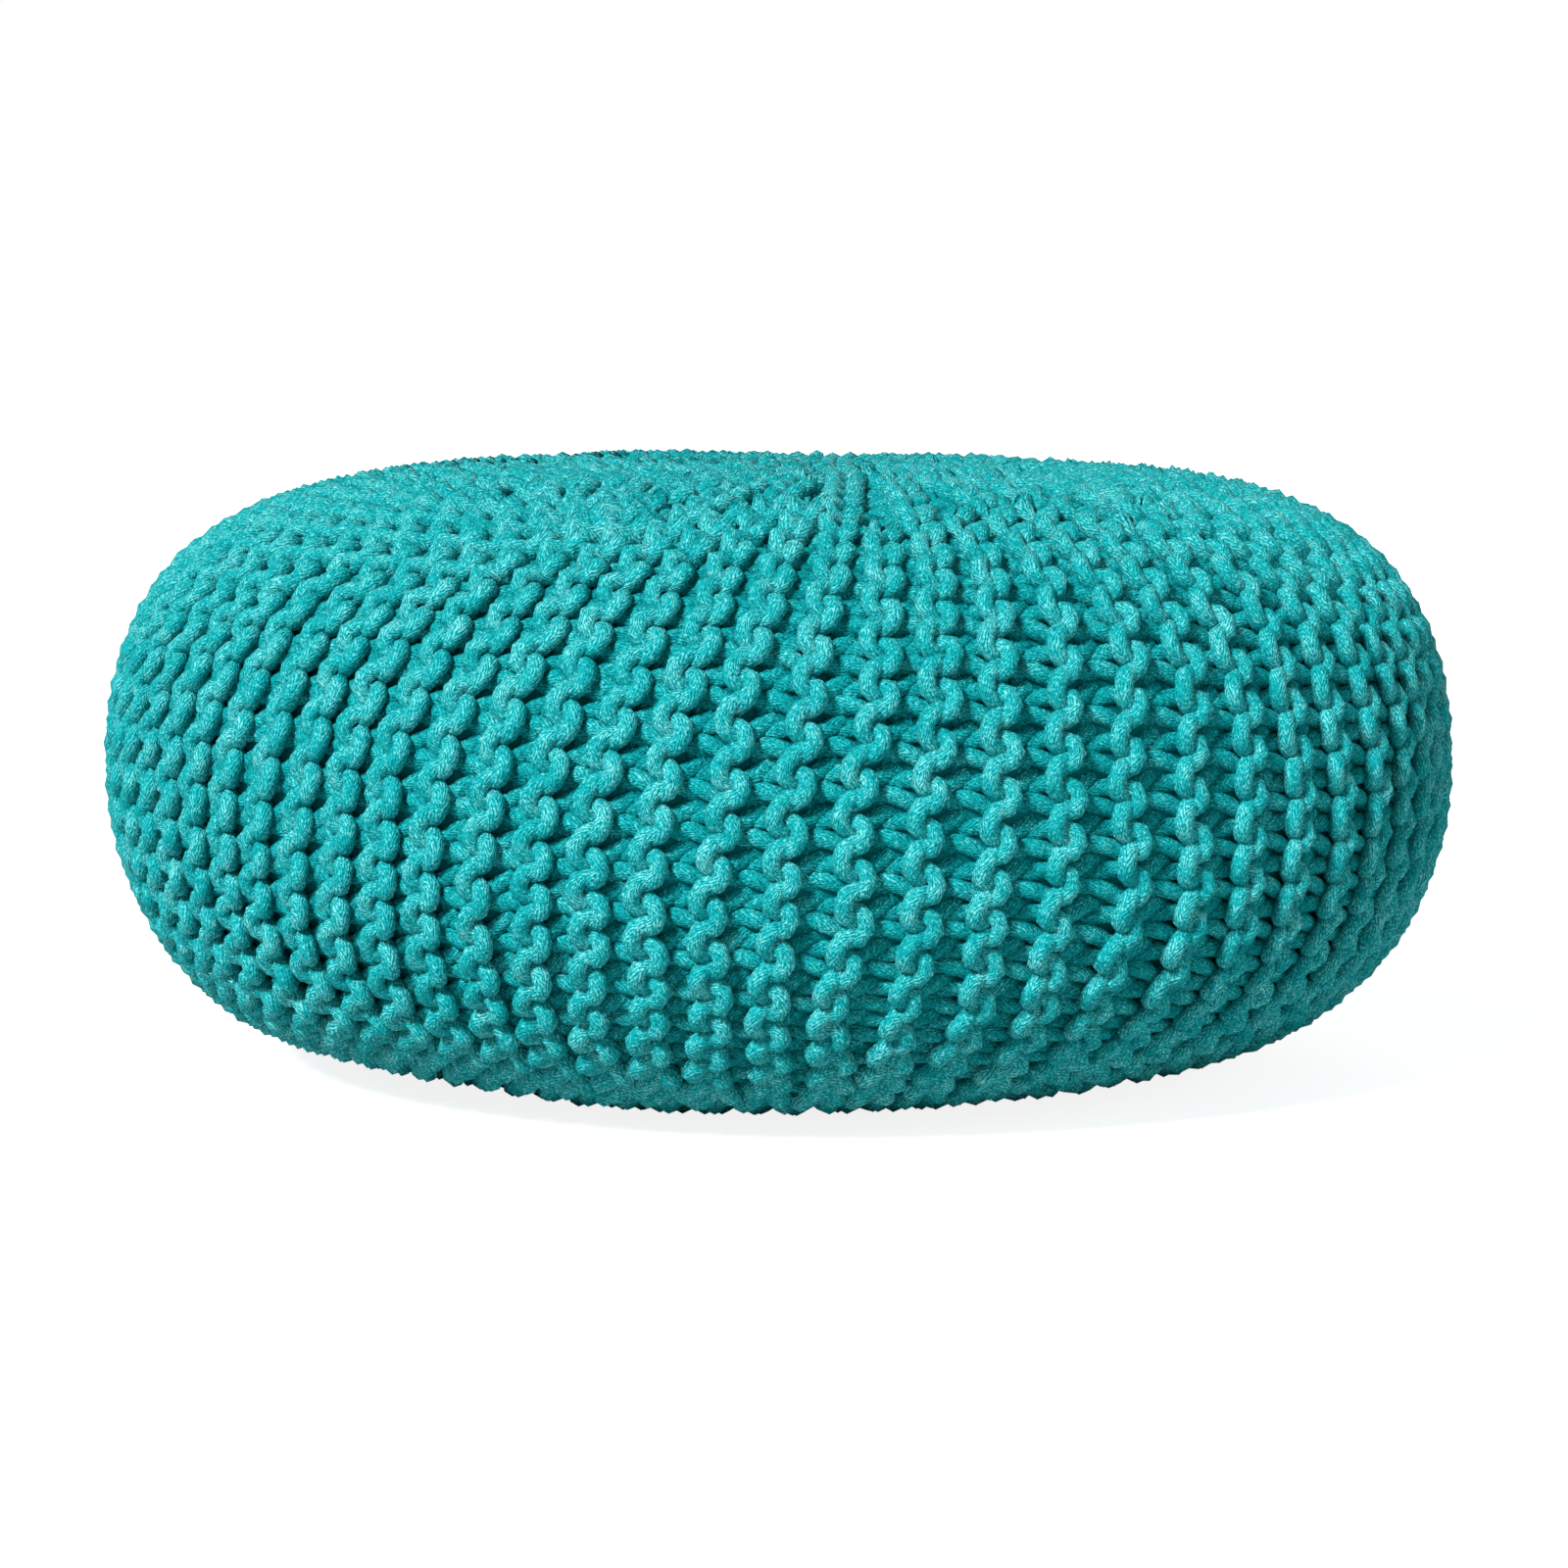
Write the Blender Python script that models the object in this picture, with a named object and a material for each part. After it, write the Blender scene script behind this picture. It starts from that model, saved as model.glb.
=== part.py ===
"""A low round floor pouf in a cover knitted from thick cord.

The cover is one closed filled body: a wide drum with a flattened crown, full rounded sides and
a flat patch to sit on. Its garter ridges run from the middle of the top, over the side, to the
middle of the underside, and their grooves are real recesses that die out where the ridges are
gathered together. The knitting leans and twists a little, so the gathered middles of the top and
of the underside sit to the right and in front of the upright centre line.

Metres, +Z up, origin in the middle of the flat underside, front toward -Y.
"""
import math

import bpy

# ---- sizes of the filled body
DIAMETER = 0.56
EQUATOR_HEIGHT = 0.1170  # height of the widest girth above the floor
CROWN_RISE = 0.1306  # from the widest girth up to the crown
SOLE_DROP = 0.1178  # from the widest girth down to the untrimmed underside
UPPER_GIRTH_POWER = 4.95  # how square the upper half is, across
UPPER_RISE_POWER = 2.39  # and up
LOWER_GIRTH_POWER = 5.13
LOWER_RISE_POWER = 1.93

# ---- the knitting
RIDGE_COUNT = 72
RIDGE_DEPTH = 0.0085  # groove floor below ridge crest
RIDGE_DEPTH_SHARE = 0.42  # and never more than this share of the ridge spacing
CREST_HALF_WIDTH = 0.25  # of the ridge spacing
RIDGE_PHASE = math.radians(6.9)
PITCH_EASE = 0.013  # ridges are a little wider apart in front than behind
PITCH_SWING = 0.081  # and closer together on the left than on the right
PITCH_SWING_THIRD = 0.1045
TWIST = 0.065  # turn of the ridges about the upright axis, per turn of latitude

# ---- the gathered middles
CROWN_TO_RIGHT = math.radians(5.6)  # how far they sit off the centre line
CROWN_TO_FRONT = math.radians(12.8)
SOLE_TO_RIGHT = math.radians(3.3)
SOLE_TO_FRONT = math.radians(1.8)
DIMPLE_DEPTH = 0.006
DIMPLE_RADIUS = 0.024
SOLE_FADE_INNER = 0.140  # grooves are pressed flat inside this radius on the underside
SOLE_FADE_OUTER = 0.195

# ---- the grid of points, with latitudes of the knitting in degrees
SIDE_LATITUDE = 60.0
SIDE_RINGS = 21
CROWN_LATITUDES = (64.5, 69.5, 75.0, 80.5)
CROWN_CORE_LATITUDE = 85.5
SOLE_LATITUDES = (67.0, 74.0)
SOLE_CORE_LATITUDE = 82.0
PROFILE_STEPS = 600

# the points of one ridge at each fineness: (share of the ridge spacing from its crest, groove)
RIDGE_POINTS = {
    3: ((-CREST_HALF_WIDTH, 0), (CREST_HALF_WIDTH, 0), (0.5, 1)),
    2: ((0.0, 0), (0.5, 1)),
    1: ((0.0, 0),),
}


def power_profile():
    """The upright section as (arc length, radius, height) rows, underside to crown."""
    radius = DIAMETER / 2
    rows = []
    for step in range(-PROFILE_STEPS, PROFILE_STEPS + 1):
        turn = abs(step) / PROFILE_STEPS * math.pi / 2
        if step < 0:
            girth, rise, reach = LOWER_GIRTH_POWER, LOWER_RISE_POWER, -SOLE_DROP
        else:
            girth, rise, reach = UPPER_GIRTH_POWER, UPPER_RISE_POWER, CROWN_RISE
        r = radius * max(math.cos(turn), 0.0) ** (2 / girth)
        z = EQUATOR_HEIGHT + reach * math.sin(turn) ** (2 / rise)
        rows.append((r if abs(step) < PROFILE_STEPS else 0.0, z))
    length = 0.0
    table = [(0.0, *rows[0])]
    for before, after in zip(rows, rows[1:]):
        length += math.dist(before, after)
        table.append((length, *after))
    return table


PROFILE = power_profile()
ARC = PROFILE[-1][0]


def section_at(length):
    """Radius and height on the upright section at this arc length from the underside's middle."""
    low, high = 0, len(PROFILE) - 1
    while high - low > 1:
        middle = (low + high) // 2
        if PROFILE[middle][0] <= length:
            low = middle
        else:
            high = middle
    first, last = PROFILE[low], PROFILE[high]
    share = (length - first[0]) / max(last[0] - first[0], 1e-12)
    return (
        first[1] + share * (last[1] - first[1]),
        first[2] + share * (last[2] - first[2]),
    )


def smooth_step(value, low, high):
    """0 below low, 1 above high, and a smooth slope between."""
    share = min(max((value - low) / (high - low), 0.0), 1.0)
    return share * share * (3 - 2 * share)


def ridge_angle(turn):
    """Where a point of the even knitting lies round the body, as the ridges are unevenly spaced."""
    return (
        turn
        + RIDGE_PHASE
        + PITCH_EASE * math.sin(turn)
        - PITCH_SWING * math.cos(turn)
        - PITCH_SWING_THIRD / 3 * math.cos(3 * turn)
    )


def knit_direction(latitude, turn):
    """Direction from the centre of a point of the knitting, whose middles sit off the axis."""
    angle = ridge_angle(turn) + TWIST * latitude
    across = math.cos(latitude)
    x, y, z = across * math.sin(angle), -across * math.cos(angle), math.sin(latitude)
    upper = (z + 1) / 2
    front = upper * CROWN_TO_FRONT - (1 - upper) * SOLE_TO_FRONT
    right = upper * CROWN_TO_RIGHT - (1 - upper) * SOLE_TO_RIGHT
    y, z = y * math.cos(front) - z * math.sin(front), z * math.cos(front) + y * math.sin(front)
    x, z = x * math.cos(right) + z * math.sin(right), z * math.cos(right) - x * math.sin(right)
    return x, y, z


def body_point(latitude, turn, groove):
    """A point of the cover. groove is 0 on a ridge and 1 in the floor of a groove."""
    x, y, z = knit_direction(latitude, turn)
    flat = math.hypot(x, y)
    length = ARC * (0.5 + math.atan2(z, flat) / math.pi)
    radius, height = section_at(length)
    before, after = section_at(max(length - 0.002, 0.0)), section_at(min(length + 0.002, ARC))
    slope_r, slope_z = after[0] - before[0], after[1] - before[1]
    size = math.hypot(slope_r, slope_z)
    out_r, out_z = slope_z / size, -slope_r / size

    from_middle = ARC * (0.5 - abs(latitude) / math.pi)
    spacing = math.tau * min(from_middle, DIAMETER / 2) / RIDGE_COUNT
    sunk = groove * min(RIDGE_DEPTH, RIDGE_DEPTH_SHARE * spacing)
    if latitude > 0:
        sunk += DIMPLE_DEPTH * (1 - smooth_step(from_middle, 0.0, DIMPLE_RADIUS))
    else:
        sunk *= smooth_step(radius, SOLE_FADE_INNER, SOLE_FADE_OUTER)
    radius -= out_r * sunk
    height -= out_z * sunk
    share = radius / max(flat, 1e-9)
    return x * share, y * share, max(height, 0.0)


def grid_ring(latitude, fineness, every=1):
    """A ring of (turn, point) pairs, with the points of every nth ridge."""
    spacing = math.tau / RIDGE_COUNT
    ring = []
    for ridge in range(0, RIDGE_COUNT, every):
        for share, groove in RIDGE_POINTS[fineness]:
            turn = (ridge + share) * spacing
            ring.append((turn, body_point(latitude, turn, groove)))
    return ring


def grid_rings():
    """The rings of points from the middle of the underside to the middle of the top."""
    rings = [grid_ring(-math.radians(SOLE_CORE_LATITUDE), 1, 3)]
    for latitude in reversed(SOLE_LATITUDES):
        rings.append(grid_ring(-math.radians(latitude), 1))
    for step in range(SIDE_RINGS):
        share = 2 * step / (SIDE_RINGS - 1) - 1
        rings.append(grid_ring(share * math.radians(SIDE_LATITUDE), 3))
    for latitude in CROWN_LATITUDES:
        rings.append(grid_ring(math.radians(latitude), 2))
    rings.append(grid_ring(math.radians(CROWN_CORE_LATITUDE), 1, 2))
    return rings


def join_rings(lower, upper):
    """Faces between two rings of (turn, point number), always stepping the ring that lags."""
    def turn_of(ring, place):
        return ring[place % len(ring)][0] + math.tau * (place // len(ring))

    faces = []
    low = high = 0
    while low < len(lower) or high < len(upper):
        here = lower[low % len(lower)][1]
        above = upper[high % len(upper)][1]
        lags = turn_of(lower, low + 1) <= turn_of(upper, high + 1)
        if high == len(upper) or (lags and low < len(lower)):
            low += 1
            faces.append((here, lower[low % len(lower)][1], above))
        else:
            high += 1
            faces.append((here, upper[high % len(upper)][1], above))
    return faces


def knitted_pouf():
    """The filled cover as one closed body."""
    points, rings = [], []
    for ring in grid_rings():
        rings.append([(turn, len(points) + i) for i, (turn, _) in enumerate(ring)])
        points += [point for _, point in ring]
    faces = []
    for lower, upper in zip(rings, rings[1:]):
        faces += join_rings(lower, upper)
    sole, crown = len(points), len(points) + 1
    points += [body_point(-math.pi / 2, 0.0, 0), body_point(math.pi / 2, 0.0, 0)]
    first, last = rings[0], rings[-1]
    for (_, here), (_, there) in zip(first, first[1:] + first[:1]):
        faces.append((there, here, sole))
    for (_, here), (_, there) in zip(last, last[1:] + last[:1]):
        faces.append((here, there, crown))
    mesh = bpy.data.meshes.new("knitted_pouf")
    mesh.from_pydata(points, [], faces)
    mesh.shade_smooth()
    piece = bpy.data.objects.new("knitted_pouf", mesh)
    bpy.context.scene.collection.objects.link(piece)
    return piece


def cord_material():
    """Matte dyed cotton cord."""
    material = bpy.data.materials.new("teal_cotton_cord")
    material.use_nodes = True
    surface = material.node_tree.nodes["Principled BSDF"]
    surface.inputs["Base Color"].default_value = (0.012, 0.300, 0.315, 1.0)
    surface.inputs["Roughness"].default_value = 0.85
    surface.inputs["Metallic"].default_value = 0.0
    return material


for thing in list(bpy.data.objects):
    bpy.data.objects.remove(thing, do_unlink=True)

pouf = knitted_pouf()
pouf.data.materials.append(cord_material())
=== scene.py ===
"""Visual model of a low round floor pouf in a cover garter-knitted from thick teal cord.

Every stitch is real geometry: each knitted course is one cord that loops from the gathered
middle of the underside to the gathered middle of the top. Metres, in the row frame.
"""
import math

import bpy
import numpy as np
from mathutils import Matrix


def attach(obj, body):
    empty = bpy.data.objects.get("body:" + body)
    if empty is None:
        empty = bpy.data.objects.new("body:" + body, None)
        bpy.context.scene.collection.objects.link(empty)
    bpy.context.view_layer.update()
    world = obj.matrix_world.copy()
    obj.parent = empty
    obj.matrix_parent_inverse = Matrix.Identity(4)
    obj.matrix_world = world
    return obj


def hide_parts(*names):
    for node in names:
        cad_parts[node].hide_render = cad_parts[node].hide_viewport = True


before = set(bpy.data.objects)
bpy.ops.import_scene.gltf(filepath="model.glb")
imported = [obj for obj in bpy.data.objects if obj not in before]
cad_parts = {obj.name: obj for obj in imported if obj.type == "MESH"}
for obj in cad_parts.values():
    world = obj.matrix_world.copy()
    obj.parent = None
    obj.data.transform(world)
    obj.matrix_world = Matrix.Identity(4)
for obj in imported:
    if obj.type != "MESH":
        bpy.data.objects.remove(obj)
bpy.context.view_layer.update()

# ---- the filled body and the run of its ridges, with the same sizes as the solid
DIAMETER = 0.56
EQUATOR_HEIGHT = 0.1170  # height of the widest girth above the floor
CROWN_RISE = 0.1306  # from the widest girth up to the crown
SOLE_DROP = 0.1178  # and down to the underside
UPPER_GIRTH_POWER = 4.95  # how square the upper half is, across
UPPER_RISE_POWER = 2.39  # and up
LOWER_GIRTH_POWER = 5.13
LOWER_RISE_POWER = 1.93
PROFILE_STEPS = 1500  # of the section's table, from the widest girth to either end
SLOPE_STEP = 0.003  # along the section, to either side of a point whose slope is taken
RIDGE_COUNT = 72
RIDGE_PHASE = math.radians(6.9)
PITCH_EASE = 0.013  # ridges are a little wider apart in front than behind
PITCH_SWING = 0.081  # and closer together on the left than on the right
PITCH_SWING_THIRD = 0.1045
TWIST = 0.065  # turn of the ridges about the upright axis, per turn of latitude
CROWN_TO_RIGHT = math.radians(5.6)  # how far the gathered middles sit off the centre line
CROWN_TO_FRONT = math.radians(12.8)
SOLE_TO_RIGHT = math.radians(3.3)
SOLE_TO_FRONT = math.radians(1.8)
DIMPLE_DEPTH = 0.006
DIMPLE_RADIUS = 0.024

# ---- the lines of the courses
LINE_POINTS = 900
LINE_GAP = 0.001  # radians of latitude left off at each gathered middle
LINE_END_POINTS = 100  # at each end, all well above or below the widest girth
SPACING_STEP = 0.01  # radians round the body over which the ridges' spacing is measured

# ---- where ridges are worked together on the way to a gathered middle: the distances from it
# at which the ridges that end are gone, and at which they still have their full width
FIRST_MERGE = (0.128, 0.160)  # 72 ridges become 36
SECOND_MERGE = (0.060, 0.086)  # then 18
THIRD_MERGE = (0.028, 0.046)  # and then 9
MERGE_STAGGER = 0.017  # neighbours that end do so at three distances, this far apart
SECOND_STAGGER = 0.4  # share of that stagger in the second merge
ENDED_WIDTH = 0.06  # of an even spacing: a narrower ridge has ended
END_GAP = 0.4  # of the stitch pitch, between the last stitches and the gathered middle

# ---- the cord and its stitches
CORD_RADIUS = 0.0032
THINNEST_RADIUS = 0.0011  # where the cord is gathered
CORD_SHARE = 0.36  # most that the cord's radius takes of the space that a ridge has
ARC_FULLNESS = 0.10  # the cord is squashed wider in the arcs
LEG_FULLNESS = 0.12  # and in the legs, where these have room
LEG_SQUEEZE = 5  # how fast crowding takes that room
LEG_LEAST = -0.3  # and the least share of the legs' fullness that it leaves
LEG_DEPTHS = (0.5, 1.1)  # cord diameters, from the arcs down to the legs
STITCH_PITCH = 0.0171
ROW_TILT = 0.062  # fall of the stitch rows toward the right
ROW_PHASE = 0.42
COURSE_OFFSET = 0.25  # of a ridge's width, from its line to the middle of either course
ARC_REACH = 0.0045  # from the line of a ridge to the middle of an arc's cord
LEAST_REACH = 0.0004
REACH_SHARE = 1.05  # of the room between crowded ridges that their arcs take
REACH_GAP = 1.3  # cord radii that this room loses
SIDES = 7
STITCH_POINTS = 14
HIDDEN_SHARE = 0.4  # points on the parts of a stitch that lie deep, against those in view
HIDDEN_DEPTHS = (1.3, 1.9)  # cord diameters, from the parts in view to the deep ones
CURVE_STEPS = 40  # for each point of a stitch's table, while its run is measured
ACROSS_SIZE = 0.0101  # metres that 1 across stands for, while its run is measured

# One stitch of each kind of course, as the cord runs up the ridge from the middle of one front
# arc to the next. Across goes from 1 at the front arc to -1 at the back arc, along is in stitch
# pitches and depth in cord diameters.
ACROSS, ALONG, DEPTH = 0, 1, 2
HEAD_STITCH = (  # loops whose heads lie in front, on the right of a ridge
    (1.00, 0.00, 0.00),
    (1.00, 0.16, -0.09),
    (0.74, 0.29, -0.38),
    (0.26, 0.36, -0.93),
    (-0.11, 0.35, -1.12),
    (-0.51, 0.285, -1.36),
    (-0.85, 0.255, -1.70),
    (-1.00, 0.53, -1.88),
    (-0.93, 0.84, -1.68),
    (-0.72, 1.02, -1.20),
    (-0.29, 0.93, -0.85),
    (0.17, 0.82, -1.05),
    (0.36, 0.71, -0.96),
    (0.62, 0.675, -0.42),
    (0.91, 0.82, -0.07),
)
SINKER_STITCH = (  # loops whose feet lie in front, on the left of a ridge
    (1.00, 0.00, 0.00),
    (0.90, 0.18, -0.08),
    (0.52, 0.33, -0.38),
    (0.24, 0.42, -0.90),
    (0.02, 0.42, -1.12),
    (-0.16, 0.375, -1.26),
    (-0.54, 0.283, -1.48),
    (-0.90, 0.25, -1.75),
    (-1.00, 0.57, -1.88),
    (-0.95, 1.00, -1.66),
    (-0.53, 0.94, -1.22),
    (-0.14, 0.80, -1.10),
    (0.07, 0.70, -1.10),
    (0.32, 0.60, -0.96),
    (0.74, 0.63, -0.40),
    (1.02, 0.81, -0.09),
)
VALLEY_TOP = 0.9  # cord diameters: what lies deeper than this in a table
VALLEY_SHARE = 0.76  # is drawn up, to this share of its further depth
SUNKEN_DEPTHS = (0.35, 1.5)  # cord diameters, from fully lit to darkest
BACKING_DEPTH = 1.6  # cord diameters below the body's surface
BACKING_ROWS, BACKING_COLUMNS = 44, 120

# ---- what changes where ridges are squeezed together, and where the cover sags
CROWDED_SPACING = 0.0195  # ridges closer than this are squeezed together
MOST_CROWDED = 0.5
CROWDING = 10.0  # how much deeper the ends of their arcs dive
DIVE_ACROSS = (0.2, 0.8)  # where across an arc that starts, and is full
CURLING = 4.5  # how much further the ends swing back under the ridge
CURL_ACROSS = (0.0, 0.7)
FRONT_ACROSS = (0.1, 0.7)  # from behind the arcs to the arcs
KNOB_SPACINGS = (0.0180, 0.0120)  # of ridges, where arcs start to be knobs and fully are
KNOB_SHORTENING = 0.45  # knobs are shorter than arcs
KNOB_FULLNESS = 0.28  # and fuller
SAG_DEPTHS = (0.06, 0.11)  # down from the widest girth, to the bulge over the floor
SAG_KNOB = 0.8  # how much the arcs turn into knobs there
SAG_SPREAD = 0.35  # and how much wider they spread
LEAST_SPACING = 0.0005
ENDING_WIDTHS = (0.0, 0.9)  # of an even spacing: ended ridges and ridges that start to end
ENDING_SINK = 0.006  # how far a ridge has sunk where it ends

# ---- unevenness: smooth waves over the cover, as (how many, most round and along, size)
SEED = 11
WAVES_ALONG = (14, (26, 12), 0.0009)
WAVES_ROUND = (14, (20, 10), 0.0011)
WAVES_OUT = (10, (7, 5), 0.0006)
WAVE_WEIGHTS = (0.6, 1.0)
# and from stitch to stitch, with what is added to it in full crowding
REACH_JITTER, REACH_JITTER_CROWDED = 0.06, 0.6  # as a share
ALONG_JITTER, ALONG_JITTER_CROWDED = 0.0003, 0.0065
OUT_JITTER, OUT_JITTER_CROWDED = 0.0003, 0.0012
RADIUS_JITTER = 0.03  # as a share

# ---- pieces and maps
GORES = 8
STITCH_RUN, CORD_ROUND = 0.0525, 0.0240  # shape of a stitch of cord in the baked map
BAKE_MARGIN, BAKE_FILL = 0.06, 0.88  # of the height of a row of cord in the baked map
SPARE_ROWS = 2

# ---- looks of the cord, where noises and waves add up to one shade
CORD_COLOURS = (  # from the shade between strands to the fibres that catch the light
    (0.26, (0.0, 0.095, 0.110)),
    (0.54, (0.004, 0.380, 0.398)),
    # painted highlight: the whitish top colour stands for sheen on the fibres that catch the
    # light
    (0.78, (0.290, 0.800, 0.810)),
)
CHEVRONS = 4  # round the cord
STRAND_PITCH = 0.0023
STRAND_SLANT = 4.4  # twice the strand pitches that one arm of a chevron rises
STRAND_WANDER = 2.4  # strand pitches that noise moves them by
STRAND_CUT = 0.35  # of the strands' sine wave, for fine dark lines of painted shade between broad strands
PATCH_SPAN, PATCH_LEAST = 1.4, 0.2  # how strongly the strands show from place to place
FIBRE_SHADE, SHADE_START = 0.7, 0.15
STRAND_SHADE = 0.12
TONE_SHADE = 0.3
SUNKEN_SHADE = -0.10
SHADE_DROP = 0.115
CORD_ROUGHNESS = (0.2, 0.5)  # span and least
FIBRE_HEIGHT, STRAND_HEIGHT = 0.7, 0.26  # shares of the bump
SPECULAR_LEVEL = 0.04
# painted shade: the dark colours of the sheet under the cords stand for the shade deep in the
# gaps
BACKING_SHADE_COLOURS = ((0.0, 0.110, 0.120), (0.001, 0.200, 0.215))
BACKING_ROUGHNESS = (0.1, 0.85)  # span and least

# ---- the photo's view, and its light
IMAGE_WIDTH = 1600  # pixels
POUF_HALF_WIDTH = 677.4  # pixels
AIM_RIGHT, AIM_DOWN = 4.7, 14.7  # pixels from the middle of the widest girth
CAMERA_DISTANCE = 6.0  # of the pouf's radius
CAMERA_RISE = math.radians(6.37)
SENSOR_WIDTH = 36.0
CLIP_RANGE = (0.05, 30.0)
SUNS = (  # degrees round from the camera's side, height and width in degrees, strength
    ("key", -36.0, 37.0, 14.0, 5.0),
    ("fill", 55.0, 12.0, 60.0, 0.85),
    ("back", 165.0, 10.0, 60.0, 1.1),
)
WHITE = (1.0, 1.0, 1.0, 1.0)
WORLD_STRENGTH = 0.05
FLOOR_REACH = 40.0
FLOOR_COLOUR = (0.60, 0.60, 0.60, 1.0)
FLOOR_ROUGHNESS = 0.9
FLOOR_GLOW = 0.86  # to the camera alone


def power_profile():
    """Arc length, radius and height along the upright section, underside to crown."""
    turn = np.linspace(-math.pi / 2, math.pi / 2, 2 * PROFILE_STEPS + 1)
    upper = turn >= 0
    girth = np.where(upper, UPPER_GIRTH_POWER, LOWER_GIRTH_POWER)
    rise = np.where(upper, UPPER_RISE_POWER, LOWER_RISE_POWER)
    reach = np.where(upper, CROWN_RISE, -SOLE_DROP)
    radius = DIAMETER / 2 * np.maximum(np.cos(turn), 0.0) ** (2 / girth)
    radius[[0, -1]] = 0.0
    height = EQUATOR_HEIGHT + reach * np.abs(np.sin(turn)) ** (2 / rise)
    length = np.concatenate([[0.0], np.cumsum(np.hypot(np.diff(radius), np.diff(height)))])
    return length, radius, height


P_LENGTH, P_RADIUS, P_HEIGHT = power_profile()
ARC = P_LENGTH[-1]


def section_slope(values, length):
    """How far these values of the section's table rise over a short step along it."""
    after = np.interp(length + SLOPE_STEP, P_LENGTH, values)
    return after - np.interp(length - SLOPE_STEP, P_LENGTH, values)


def smooth_step(value, low, high):
    """0 below low, 1 above high, and a smooth slope between."""
    share = np.clip((value - low) / (high - low), 0.0, 1.0)
    return share * share * (3 - 2 * share)


def surface(latitude, turn):
    """Points and outward normals of the body at these latitudes of the knitting."""
    angle = (
        turn
        + RIDGE_PHASE
        + PITCH_EASE * np.sin(turn)
        - PITCH_SWING * np.cos(turn)
        - PITCH_SWING_THIRD / 3 * np.cos(3 * turn)
        + TWIST * latitude
    )
    x = np.cos(latitude) * np.sin(angle)
    y = -np.cos(latitude) * np.cos(angle)
    z = np.sin(latitude)
    upper = (z + 1) / 2
    front = upper * CROWN_TO_FRONT - (1 - upper) * SOLE_TO_FRONT
    right = upper * CROWN_TO_RIGHT - (1 - upper) * SOLE_TO_RIGHT
    y, z = y * np.cos(front) - z * np.sin(front), z * np.cos(front) + y * np.sin(front)
    x, z = x * np.cos(right) + z * np.sin(right), z * np.cos(right) - x * np.sin(right)
    flat = np.maximum(np.hypot(x, y), 1e-9)
    length = ARC * (0.5 + np.arctan2(z, flat) / math.pi)
    radius = np.interp(length, P_LENGTH, P_RADIUS)
    height = np.interp(length, P_LENGTH, P_HEIGHT)
    slope_r, slope_z = section_slope(P_RADIUS, length), section_slope(P_HEIGHT, length)
    size = np.maximum(np.hypot(slope_r, slope_z), 1e-12)
    out_r, out_z = slope_z / size, -slope_r / size
    from_crown = ARC * (0.5 - latitude / math.pi)
    height = height - DIMPLE_DEPTH * (1 - smooth_step(from_crown, 0.0, DIMPLE_RADIUS))
    point = np.stack([x / flat * radius, y / flat * radius, height], -1)
    normal = np.stack([x / flat * out_r, y / flat * out_r, out_z], -1)
    return point, normal


def run_length(point):
    """Length from the first point to each of these points, along the line through them."""
    return np.concatenate([[0.0], np.cumsum(np.linalg.norm(np.diff(point, axis=0), axis=1))])


class Ridge:
    """The line of one ridge over the body, by its length from the underside's middle."""

    def __init__(self, number):
        turn = number / RIDGE_COUNT * math.tau
        end = math.pi / 2 - LINE_GAP
        self.latitude = np.linspace(-end, end, LINE_POINTS)
        point, _ = surface(self.latitude, np.full_like(self.latitude, turn))
        self.length = run_length(point)
        level = point[:, 2] + ROW_TILT * point[:, 0]
        middle = slice(LINE_END_POINTS, -LINE_END_POINTS)
        # stitches are counted from the widest girth, along rows that are a little tilted
        self.start = np.interp(EQUATOR_HEIGHT, level[middle], self.length[middle])
        ahead, _ = surface(self.latitude, np.full_like(self.latitude, turn + SPACING_STEP))
        across = (ahead - point)[1:-1]
        forward = point[2:] - point[:-2]
        forward /= np.linalg.norm(forward, axis=1, keepdims=True)
        across -= (across * forward).sum(1, keepdims=True) * forward
        spacing = np.linalg.norm(across, axis=1) / SPACING_STEP * math.tau / RIDGE_COUNT
        self.spacing = np.concatenate([[0.0], spacing, [0.0]])


def ridge_width(ridge, side, from_middle):
    """Share of an even ridge spacing that this ridge takes, as ridges are worked together."""
    ending = ridge if ridge % 2 == 1 else ridge - int(side)
    shift = MERGE_STAGGER * (ending // 2 % 3 - 1)
    first = smooth_step(from_middle + shift, *FIRST_MERGE)
    second = smooth_step(from_middle + SECOND_STAGGER * shift, *SECOND_MERGE)
    third = smooth_step(from_middle, *THIRD_MERGE)
    width = np.where(ridge % 2 == 1, first, 2 - first)
    width = width * np.where(
        ridge % 2 == 1, 1.0, np.where(ridge % 4 == 2, second, 2 - second)
    )
    return width * np.where(
        ridge % 4 != 0, 1.0, np.where(ridge % 8 == 4, third, 2 - third)
    )


def wave_field(rng, count, most, size):
    """A smooth field over (turn, along) from a few seeded waves that close round the body."""
    around = rng.integers(-most[0], most[0] + 1, count)
    up = rng.uniform(-most[1], most[1], count)
    phase = rng.uniform(0, math.tau, count)
    weight = rng.uniform(*WAVE_WEIGHTS, count)
    weight /= math.sqrt((weight**2).sum() / 2)

    def field(turn, along):
        value = 0.0
        for a, u, p, w in zip(around, up, phase, weight):
            value = value + w * np.sin(a * turn + u * along / ARC * math.tau + p)
        return value * size

    return field


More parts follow.
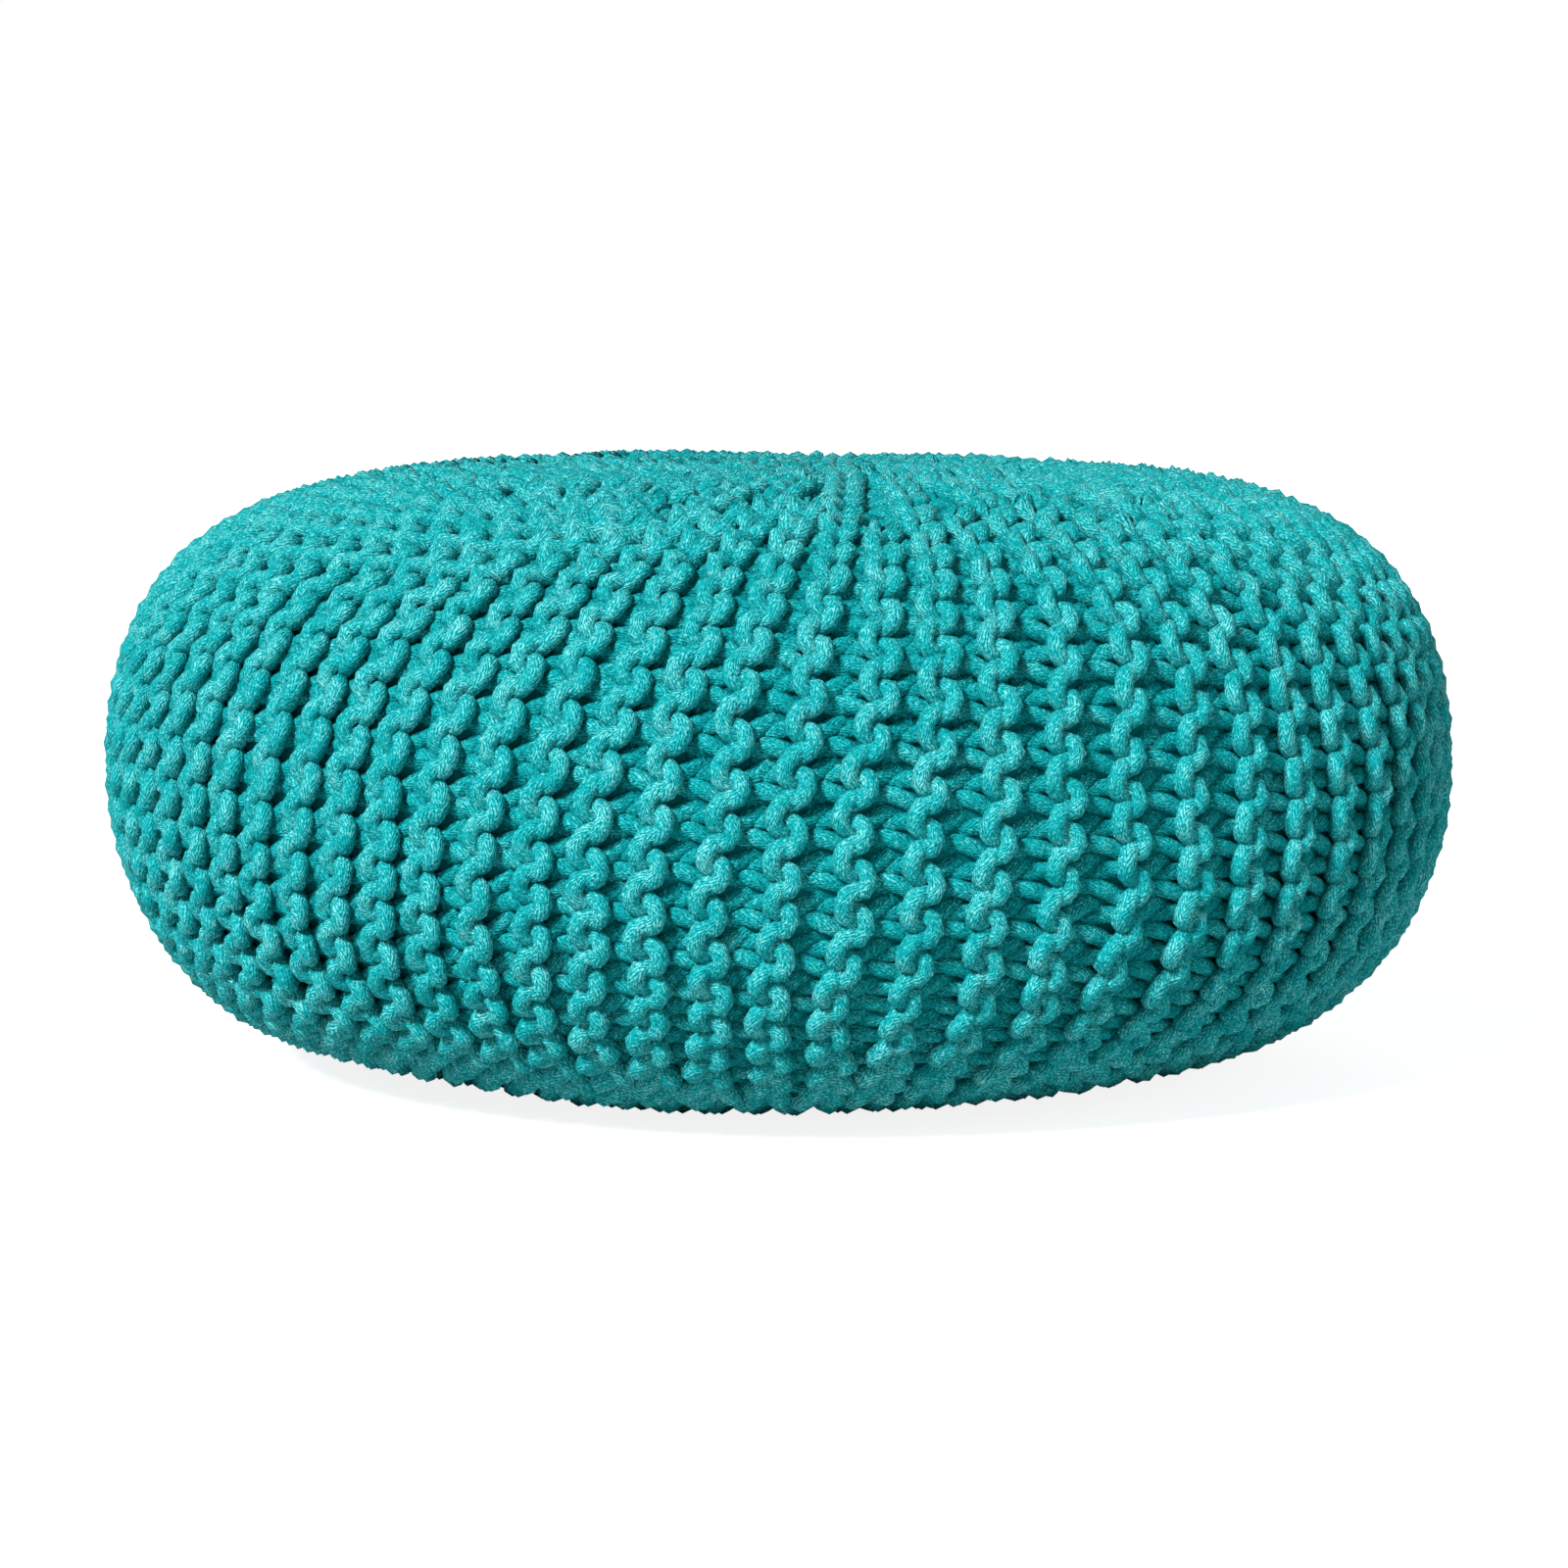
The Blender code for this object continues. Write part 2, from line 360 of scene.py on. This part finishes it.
def stitch_samples(table):
    """Points on the smooth repeating run through a stitch's table, closer where in view."""
    points = np.array(table)
    count = len(points)
    place = np.linspace(0.0, count, CURVE_STEPS * count, endpoint=False)
    cell = np.floor(place).astype(int)
    f = (place - cell)[:, None]

    def at(shift):
        turns, inside = np.divmod(cell + shift, count)
        value = points[inside].copy()
        value[:, ALONG] += turns
        return value

    before, here, after, beyond = at(-1), at(0), at(1), at(2)
    curve = 0.5 * (
        2 * here
        + (after - before) * f
        + (2 * before - 5 * here + 4 * after - beyond) * f**2
        + (3 * here - before - 3 * after + beyond) * f**3
    )
    scale = np.array([ACROSS_SIZE, STITCH_PITCH, 2 * CORD_RADIUS])
    run = np.linalg.norm(np.diff(curve * scale, axis=0), axis=1)
    deep = smooth_step(-curve[:-1, DEPTH], *HIDDEN_DEPTHS)
    weight = np.concatenate([[0.0], np.cumsum(run * (1 + (HIDDEN_SHARE - 1) * deep))])
    wanted = np.arange(STITCH_POINTS) / STITCH_POINTS * weight[-1]
    return np.stack([np.interp(wanted, weight, curve[:, k]) for k in range(3)], -1)


HEAD_SAMPLES = stitch_samples(HEAD_STITCH)
SINKER_SAMPLES = stitch_samples(SINKER_STITCH)


def course_path(course, shift_along, shift_round, swell):
    """One course's cord: places counted in stitches, points, normals, radii and sunken shares.

    An even course runs up the right of a ridge and shows heads, an odd one runs up its left and
    shows feet, half a stitch further on.
    """
    ridge = course // 2
    heads = course % 2 == 0
    side = 1.0 if heads else -1.0
    own = np.random.default_rng(SEED * 1000 + course)
    samples = HEAD_SAMPLES if heads else SINKER_SAMPLES
    line = Ridge(ridge)
    total = line.length[-1]
    phase = ROW_PHASE + (0.0 if heads else 0.5)
    lowest = math.ceil(-line.start / STITCH_PITCH - phase) - 1
    stitches = math.floor((total - line.start) / STITCH_PITCH - phase) - lowest + 2

    # the samples of one stitch after another, without those too near the gathered middles
    across = np.tile(samples[:, ACROSS], stitches)
    share = np.repeat(np.arange(stitches), STITCH_POINTS) + np.tile(samples[:, ALONG], stitches)
    depth = np.tile(samples[:, DEPTH], stitches)
    drawn_up = -VALLEY_TOP + (depth + VALLEY_TOP) * VALLEY_SHARE
    depth = np.where(depth < -VALLEY_TOP, drawn_up, depth)
    place = np.arange(len(share)) / STITCH_POINTS
    along = line.start + (lowest + share + phase) * STITCH_PITCH
    even = line.start + (lowest + place + phase) * STITCH_PITCH
    middle = np.minimum(even, total - even)
    width = ridge_width(ridge, side, middle)
    keep = (middle > END_GAP * STITCH_PITCH) & (width > ENDED_WIDTH)
    place, along, even, across, depth, width, share = (
        v[keep] for v in (place, along, even, across, depth, width, share)
    )

    def jitter(size):
        """Random shifts of about this size, one a stitch and blended in between."""
        values = own.normal(0.0, 1.0, stitches + 2) * size
        return np.interp(place, np.arange(stitches + 2) - 0.5, values)

    # how much room the ridge has here
    ring = np.maximum(np.interp(even, line.length, line.spacing), LEAST_SPACING)
    spacing = ring * width
    crowded = np.clip(1 - spacing / CROWDED_SPACING, 0.0, MOST_CROWDED)
    sag = smooth_step(line.start - along, *SAG_DEPTHS)
    start, full = KNOB_SPACINGS
    knob = np.maximum(smooth_step(-spacing, -start, -full), SAG_KNOB * sag)
    front = smooth_step(across, *FRONT_ACROSS)
    leg = smooth_step(-depth, *LEG_DEPTHS)
    sunken = smooth_step(-depth, *SUNKEN_DEPTHS)
    radius = np.minimum(CORD_RADIUS, np.maximum(THINNEST_RADIUS, CORD_SHARE * spacing))

    # the stitches' shape in that room
    along = along - KNOB_SHORTENING * knob * front * (share - np.round(share)) * STITCH_PITCH
    reach = ARC_REACH * (1 + SAG_SPREAD * sag)
    room = REACH_SHARE * (spacing - REACH_GAP * radius) / 2
    reach = np.clip(room, LEAST_REACH, reach)
    reach = reach * (1 + jitter(REACH_JITTER) + jitter(REACH_JITTER_CROWDED) * crowded)
    half = COURSE_OFFSET * width + reach / ring
    depth = depth * (1 + CROWDING * crowded * smooth_step(across, *DIVE_ACROSS))
    curl = (1 - across) * smooth_step(across, *CURL_ACROSS)
    across = across - CURLING * crowded * curl

    # their place on the body
    turn = (ridge + side * (across * half - COURSE_OFFSET * width)) / RIDGE_COUNT * math.tau
    turn_mid = (ridge - COURSE_OFFSET * side * width) / RIDGE_COUNT * math.tau
    turn = turn + shift_round(turn_mid, along) / DIAMETER * 2
    moved = along + shift_along(turn, along)
    moved = moved + jitter(ALONG_JITTER) + jitter(ALONG_JITTER_CROWDED) * crowded
    point, normal = surface(np.interp(moved, line.length, line.latitude), turn)
    sunk = (1 - smooth_step(width, *ENDING_WIDTHS)) * ENDING_SINK
    out = depth * 2 * radius - radius - sunk
    out = out + jitter(OUT_JITTER) + jitter(OUT_JITTER_CROWDED) * crowded
    out = out + swell(turn, along)
    point = point + normal * out[:, None]
    squeezed = np.maximum(1 - LEG_SQUEEZE * crowded, LEG_LEAST)
    fullness = ARC_FULLNESS * (1 - leg) + LEG_FULLNESS * leg * squeezed
    fullness = 1 + fullness + KNOB_FULLNESS * knob * front + jitter(RADIUS_JITTER)
    return place, point, normal, radius * fullness, sunken


def gore_paths(gore):
    """The cords of one gore. The waves in them run on from gore to gore."""
    rng = np.random.default_rng(SEED)
    waves = [wave_field(rng, *sizes) for sizes in (WAVES_ALONG, WAVES_ROUND, WAVES_OUT)]
    courses = 2 * RIDGE_COUNT
    own = range(gore * courses // GORES, (gore + 1) * courses // GORES)
    return [course_path(course, *waves) for course in own]


def corner_map(low, high, one, two, shape):
    """Map points of the four corners of every face, from low to high and from one to two."""
    corners = [
        np.stack([np.broadcast_to(u, shape), np.broadcast_to(v, shape)], -1)
        for u, v in ((low, one), (low, two), (high, two), (high, one))
    ]
    return np.stack(corners, 2).reshape(-1, 2)


def cord_mesh(name, paths):
    """All the cords of one gore as tubes in one mesh, with two maps and how sunken they lie.

    The map "cord" is in metres along the cord and turns round it. The map "OFBake" lays the
    cords in rows, one row above the other.
    """
    turn = np.arange(SIDES) / SIDES * math.tau
    vertices, faces, cord_uv, bake_uv, deep = [], [], [], [], []
    total = sum(len(place) for place, *_ in paths)
    rows = max(1, int(round(math.sqrt(total / STITCH_POINTS * STITCH_RUN / CORD_ROUND))))
    per_row = math.ceil(total / STITCH_POINTS / rows + 1)
    start = stitch_number = 0
    for place, point, normal, radius, sunken in paths:
        deep.append(np.repeat(sunken, SIDES))
        tangent = np.gradient(point, axis=0)
        tangent /= np.linalg.norm(tangent, axis=1, keepdims=True)
        side = np.cross(tangent, normal)
        side /= np.linalg.norm(side, axis=1, keepdims=True)
        up = np.cross(side, tangent)
        around = (
            np.cos(turn)[None, :, None] * up[:, None]
            + np.sin(turn)[None, :, None] * side[:, None]
        )
        ring = point[:, None] + radius[:, None, None] * around
        ring[..., 2] = np.maximum(ring[..., 2], 0.0)  # pressed flat on the floor
        vertices.append(ring.reshape(-1, 3))
        count = len(place)
        shape = (count - 1, SIDES)
        i = np.arange(count - 1)[:, None]
        k = np.arange(SIDES)[None, :]
        a = start + i * SIDES + k
        b = start + i * SIDES + (k + 1) % SIDES
        faces.append(np.stack([a, b, b + SIDES, a + SIDES], -1).reshape(-1, 4))
        length = run_length(point)[:, None]
        one, two = k / SIDES, (k + 1) / SIDES
        cord_uv.append(corner_map(length[:-1], length[1:], one, two, shape))
        at = (stitch_number + place - place[0])[:, None] / per_row
        row = np.floor(at[:-1])
        low, high = np.minimum(at[:-1] - row, 1.0), np.minimum(at[1:] - row, 1.0)
        one, two = (
            (row + BAKE_MARGIN + BAKE_FILL * v) / (rows + SPARE_ROWS) for v in (one, two)
        )
        bake_uv.append(corner_map(low, high, one, two, shape))
        stitch_number += place[-1] - place[0]
        start += count * SIDES
    vertices, faces = np.concatenate(vertices), np.concatenate(faces)
    mesh = bpy.data.meshes.new(name)
    mesh.vertices.add(len(vertices))
    mesh.vertices.foreach_set("co", vertices.astype(np.float32).ravel())
    mesh.loops.add(faces.size)
    mesh.loops.foreach_set("vertex_index", faces.astype(np.int32).ravel())
    mesh.polygons.add(len(faces))
    mesh.polygons.foreach_set("loop_start", np.arange(len(faces), dtype=np.int32) * 4)
    mesh.update(calc_edges=True)
    for layer, values in (("cord", cord_uv), ("OFBake", bake_uv)):
        data = mesh.uv_layers.new(name=layer)
        data.data.foreach_set("uv", np.concatenate(values).astype(np.float32).ravel())
    layer = mesh.attributes.new("sunken", "FLOAT", "POINT")
    layer.data.foreach_set("value", np.concatenate(deep).astype(np.float32))
    mesh.shade_smooth()
    mesh.validate()
    return mesh


def backing_mesh(name):
    """The inner side of the knitting: a sheet coloured dark as painted shade, seen only deep in
    the gaps.
    """
    rows, columns = BACKING_ROWS, BACKING_COLUMNS
    depth = -BACKING_DEPTH * 2 * CORD_RADIUS
    latitude = np.linspace(-math.pi / 2, math.pi / 2, rows + 1)[1:-1]
    turn = np.arange(columns) / columns * math.tau
    point, normal = surface(
        np.repeat(latitude[:, None], columns, 1), np.repeat(turn[None], rows - 1, 0)
    )
    point = (point + depth * normal).reshape(-1, 3)
    ends, out = surface(np.array([-math.pi / 2, math.pi / 2]), np.array([0.0, 0.0]))
    point = np.concatenate([point, ends + depth * out])
    i = np.arange(rows - 2)[:, None]
    k = np.arange(columns)[None, :]
    a, b = i * columns + k, i * columns + (k + 1) % columns
    faces = np.stack([a, b, b + columns, a + columns], -1).reshape(-1, 4).tolist()
    sole, crown = len(point) - 2, len(point) - 1
    last = (rows - 2) * columns
    for k in range(columns):
        after = (k + 1) % columns
        faces.append((after, k, sole))
        faces.append((last + k, last + after, crown))
    mesh = bpy.data.meshes.new(name)
    mesh.from_pydata(point.tolist(), [], faces)
    mesh.shade_smooth()
    return mesh


class Nodes:
    """A new material, with short hand for building its node tree."""

    def __init__(self, name):
        self.material = bpy.data.materials.new(name)
        self.material.use_nodes = True
        self.tree = self.material.node_tree
        self.surface = self.tree.nodes["Principled BSDF"]

    def add(self, kind, links=(), **values):
        node = self.tree.nodes.new(kind)
        for name, value in values.items():
            setattr(node, name, value)
        for socket, source in dict(links).items():
            if isinstance(source, bpy.types.NodeSocket):
                self.tree.links.new(source, node.inputs[socket])
            else:
                node.inputs[socket].default_value = source
        return node

    def noise(self, scale, detail):
        place = self.add("ShaderNodeNewGeometry").outputs["Position"]
        links = {"Vector": place, "Scale": scale, "Detail": detail}
        return self.add("ShaderNodeTexNoise", links).outputs[0]

    def math(self, operation, first, second=0.0, third=None):
        links = {0: first, 1: second}
        if third is not None:
            links[2] = third
        return self.add("ShaderNodeMath", links, operation=operation).outputs[0]

    def link(self, source, socket):
        self.tree.links.new(source, self.surface.inputs[socket])

    def set(self, socket, value):
        self.surface.inputs[socket].default_value = value


def cord_material():
    """Teal cotton cord: fine slanting strands in chevrons, matte, with painted shade in the
    fine lines between strands and lighter fibres that carry painted highlights.
    """
    n = Nodes("teal_cotton_cord")
    uv = n.add("ShaderNodeUVMap", uv_map="cord")
    split = n.add("ShaderNodeSeparateXYZ", {0: uv.outputs[0]})
    along, around = split.outputs[0], split.outputs[1]
    fibre, wander, tone = n.noise(900.0, 4.0), n.noise(260.0, 2.0), n.noise(90.0, 3.0)
    # strands slant one way and then the other way round the cord
    slant = n.math("PINGPONG", n.math("MULTIPLY", around, CHEVRONS), 0.5)
    slant = n.math("MULTIPLY", slant, STRAND_SLANT)
    strand = n.math("MULTIPLY_ADD", along, 1 / STRAND_PITCH, slant)
    strand = n.math("MULTIPLY_ADD", wander, STRAND_WANDER, strand)
    strand = n.math("SINE", n.math("MULTIPLY", strand, math.tau))
    strand = n.math("MINIMUM", strand, STRAND_CUT)
    patch = n.math("MULTIPLY_ADD", tone, PATCH_SPAN, PATCH_LEAST)
    strand = n.math("MULTIPLY", strand, patch)
    shade = n.math("MULTIPLY_ADD", fibre, FIBRE_SHADE, SHADE_START)
    shade = n.math("MULTIPLY_ADD", strand, STRAND_SHADE, shade)
    shade = n.math("MULTIPLY_ADD", tone, TONE_SHADE, shade)
    # the parts that lie deep catch less light than the render's few bounces show
    sunken = n.add("ShaderNodeAttribute", attribute_name="sunken").outputs["Fac"]
    shade = n.math("MULTIPLY_ADD", sunken, SUNKEN_SHADE, shade)
    ramp = n.add("ShaderNodeValToRGB", {0: n.math("SUBTRACT", shade, SHADE_DROP)})
    ramp.color_ramp.elements.new(0.5)
    for stop, (position, colour) in zip(ramp.color_ramp.elements, CORD_COLOURS):
        stop.position, stop.color = position, (*colour, 1.0)
    n.link(ramp.outputs[0], "Base Color")
    n.link(n.math("MULTIPLY_ADD", fibre, *CORD_ROUGHNESS), "Roughness")
    n.set("Specular IOR Level", SPECULAR_LEVEL)
    height = n.math("MULTIPLY", strand, STRAND_HEIGHT)
    height = n.math("MULTIPLY_ADD", fibre, FIBRE_HEIGHT, height)
    bump = n.add(
        "ShaderNodeBump", {"Strength": 0.8, "Distance": 0.0009, "Height": height}
    )
    n.link(bump.outputs[0], "Normal")
    return n.material


def backing_material():
    """The same cord in the dark, without its strands."""
    n = Nodes("shaded_cover_inside")
    tone = n.noise(220.0, 3.0)
    ramp = n.add("ShaderNodeValToRGB", {0: tone})
    for stop, colour in zip(ramp.color_ramp.elements, BACKING_SHADE_COLOURS):
        stop.color = (*colour, 1.0)
    n.link(ramp.outputs[0], "Base Color")
    n.link(n.math("MULTIPLY_ADD", tone, *BACKING_ROUGHNESS), "Roughness")
    n.set("Specular IOR Level", SPECULAR_LEVEL)
    bump = n.add("ShaderNodeBump", {"Distance": 0.001, "Height": tone})
    n.link(bump.outputs[0], "Normal")
    return n.material


def add_object(name, data):
    thing = bpy.data.objects.new(name, data)
    bpy.context.scene.collection.objects.link(thing)
    return thing


def place_piece(name, mesh, material):
    piece = add_object(name, mesh)
    mesh.materials.append(material)
    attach(piece, "root")
    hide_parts("knitted_pouf")


def add_floor():
    """A floor that looks white with a faint shadow, without lighting the pouf from below."""
    mesh = bpy.data.meshes.new("floor")
    reach = FLOOR_REACH
    mesh.from_pydata(
        [(-reach, -reach, 0), (reach, -reach, 0), (reach, reach, 0), (-reach, reach, 0)],
        [],
        [(0, 1, 2, 3)],
    )
    piece = add_object("floor", mesh)
    n = Nodes("pale_floor")
    n.set("Base Color", FLOOR_COLOUR)
    n.set("Roughness", FLOOR_ROUGHNESS)
    n.set("Emission Color", WHITE)
    seen = n.add("ShaderNodeLightPath").outputs["Is Camera Ray"]
    n.link(n.math("MULTIPLY", seen, FLOOR_GLOW), "Emission Strength")
    mesh.materials.append(n.material)


def add_camera():
    """The photo's view: a longish lens a little above the crown."""
    pixel = DIAMETER / 2 / POUF_HALF_WIDTH  # metres a pixel at the pouf's middle
    distance = CAMERA_DISTANCE * DIAMETER / 2
    right = np.array([1.0, 0.0, 0.0])
    up = np.array([0.0, math.sin(CAMERA_RISE), math.cos(CAMERA_RISE)])
    back = np.array([0.0, -math.cos(CAMERA_RISE), math.sin(CAMERA_RISE)])
    middle = np.array([0.0, 0.0, EQUATOR_HEIGHT])
    aim = middle + AIM_RIGHT * pixel * right - AIM_DOWN * pixel * up
    data = bpy.data.cameras.new("camera")
    data.sensor_width = SENSOR_WIDTH
    data.lens = distance / pixel / IMAGE_WIDTH * data.sensor_width
    data.clip_start, data.clip_end = CLIP_RANGE
    camera = add_object("camera", data)
    camera.location = aim + back * distance
    camera.rotation_euler = (math.pi / 2 - CAMERA_RISE, 0.0, 0.0)
    bpy.context.scene.camera = camera


def add_sun(name, turn, rise, width, strength):
    """A broad soft light from this turn round the pouf, 0 at the camera's side."""
    light = bpy.data.lights.new(name, "SUN")
    light.angle, light.energy = math.radians(width), strength
    holder = add_object(name, light)
    holder.rotation_euler = (math.radians(90 - rise), 0.0, math.radians(turn))


def add_world():
    """A far wall that looks white without lighting the pouf as strongly from every side."""
    world = bpy.data.worlds.new("studio")
    world.use_nodes = True
    tree = world.node_tree
    ambient = tree.nodes["Background"]
    ambient.inputs["Color"].default_value = WHITE
    ambient.inputs["Strength"].default_value = WORLD_STRENGTH
    wall = tree.nodes.new("ShaderNodeBackground")
    wall.inputs["Color"].default_value = WHITE
    path = tree.nodes.new("ShaderNodeLightPath")
    mix = tree.nodes.new("ShaderNodeMixShader")
    tree.links.new(path.outputs["Is Camera Ray"], mix.inputs[0])
    tree.links.new(ambient.outputs[0], mix.inputs[1])
    tree.links.new(wall.outputs[0], mix.inputs[2])
    tree.links.new(mix.outputs[0], tree.nodes["World Output"].inputs[0])
    bpy.context.scene.world = world


cord = cord_material()
for gore in range(GORES):
    name = f"knitting_{gore + 1}"
    place_piece(name, cord_mesh(name, gore_paths(gore)), cord)
# the inside of the cover, a sheet in painted shade under the cords
place_piece("shaded_cover_inside", backing_mesh("shaded_cover_inside"), backing_material())

add_floor()
add_camera()
for sun in SUNS:
    add_sun(*sun)
add_world()
bpy.context.scene.view_settings.view_transform = "Standard"
bpy.context.scene.view_settings.look = "None"
